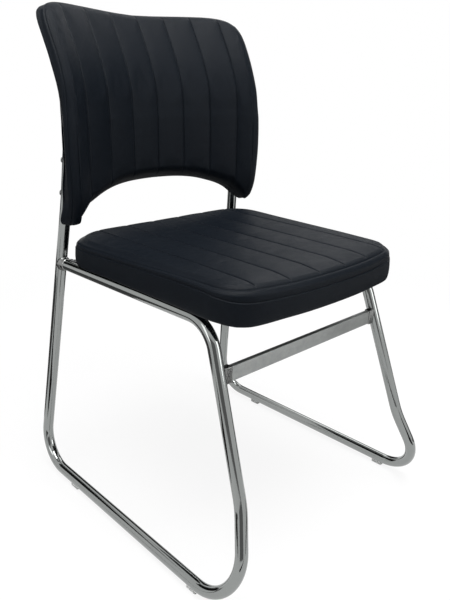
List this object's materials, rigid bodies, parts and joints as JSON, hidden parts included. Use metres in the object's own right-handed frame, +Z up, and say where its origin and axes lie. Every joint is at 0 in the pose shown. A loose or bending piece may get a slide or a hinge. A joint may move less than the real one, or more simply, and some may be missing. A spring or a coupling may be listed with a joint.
{
  "type": "sled base visitor chair",
  "caption": "Armless visitor chair with a bent tube sled base, an upholstered seat with sewn channels and a padded back whose lower edge is arched.",
  "frame": {"origin": "on the floor, in the middle of the chair's bounding box", "axes": "+Z up, +X to the sitter's left, -Y the way the sitter faces"},
  "size_m": [0.5048, 0.5444, 0.8251],
  "materials": {
    "chromed_tube": "bright chrome plated steel tube",
    "satin_steel": "satin steel flat bar",
    "coated_steel": "dull grey coated steel",
    "zinc_hardware": "zinc plated",
    "upholstery": "near black upholstery leather with a soft sheen",
    "foam": "cut polyurethane foam",
    "plywood": "raw moulded plywood",
    "dust_cover": "black non-woven lining",
    "black_plastic": "moulded black plastic",
    "pale_plastic": "moulded pale grey plastic"
  },
  "bodies": {
    "root": {"back_board": "plywood", "back_cover": "upholstery", "back_foam": "foam", "back_rear_cover": "upholstery", "back_screw_lower_left": "zinc_hardware", "back_screw_lower_right": "zinc_hardware", "back_screw_upper_left": "zinc_hardware", "back_screw_upper_right": "zinc_hardware", "back_spacer_lower_left": "black_plastic", "back_spacer_lower_right": "black_plastic", "back_spacer_upper_left": "black_plastic", "back_spacer_upper_right": "black_plastic", "back_tee_nut_lower_left": "zinc_hardware", "back_tee_nut_lower_right": "zinc_hardware", "back_tee_nut_upper_left": "zinc_hardware", "back_tee_nut_upper_right": "zinc_hardware", "end_cap_left": "black_plastic", "end_cap_right": "black_plastic", "floor_glide_front_left": "pale_plastic", "floor_glide_front_right": "pale_plastic", "floor_glide_rear_left": "pale_plastic", "floor_glide_rear_right": "pale_plastic", "front_cross_tube": "coated_steel", "front_stretcher": "satin_steel", "rear_cross_tube": "coated_steel", "seat_board": "plywood", "seat_cover": "upholstery", "seat_dust_cover": "dust_cover", "seat_foam": "foam", "seat_screw_front_left": "zinc_hardware", "seat_screw_front_right": "zinc_hardware", "seat_screw_rear_left": "zinc_hardware", "seat_screw_rear_right": "zinc_hardware", "seat_tab_front_left": "coated_steel", "seat_tab_front_right": "coated_steel", "seat_tab_rear_left": "coated_steel", "seat_tab_rear_right": "coated_steel", "seat_tee_nut_front_left": "zinc_hardware", "seat_tee_nut_front_right": "zinc_hardware", "seat_tee_nut_rear_left": "zinc_hardware", "seat_tee_nut_rear_right": "zinc_hardware", "side_frame_left": "chromed_tube", "side_frame_right": "chromed_tube"}
  },
  "joints": []
}
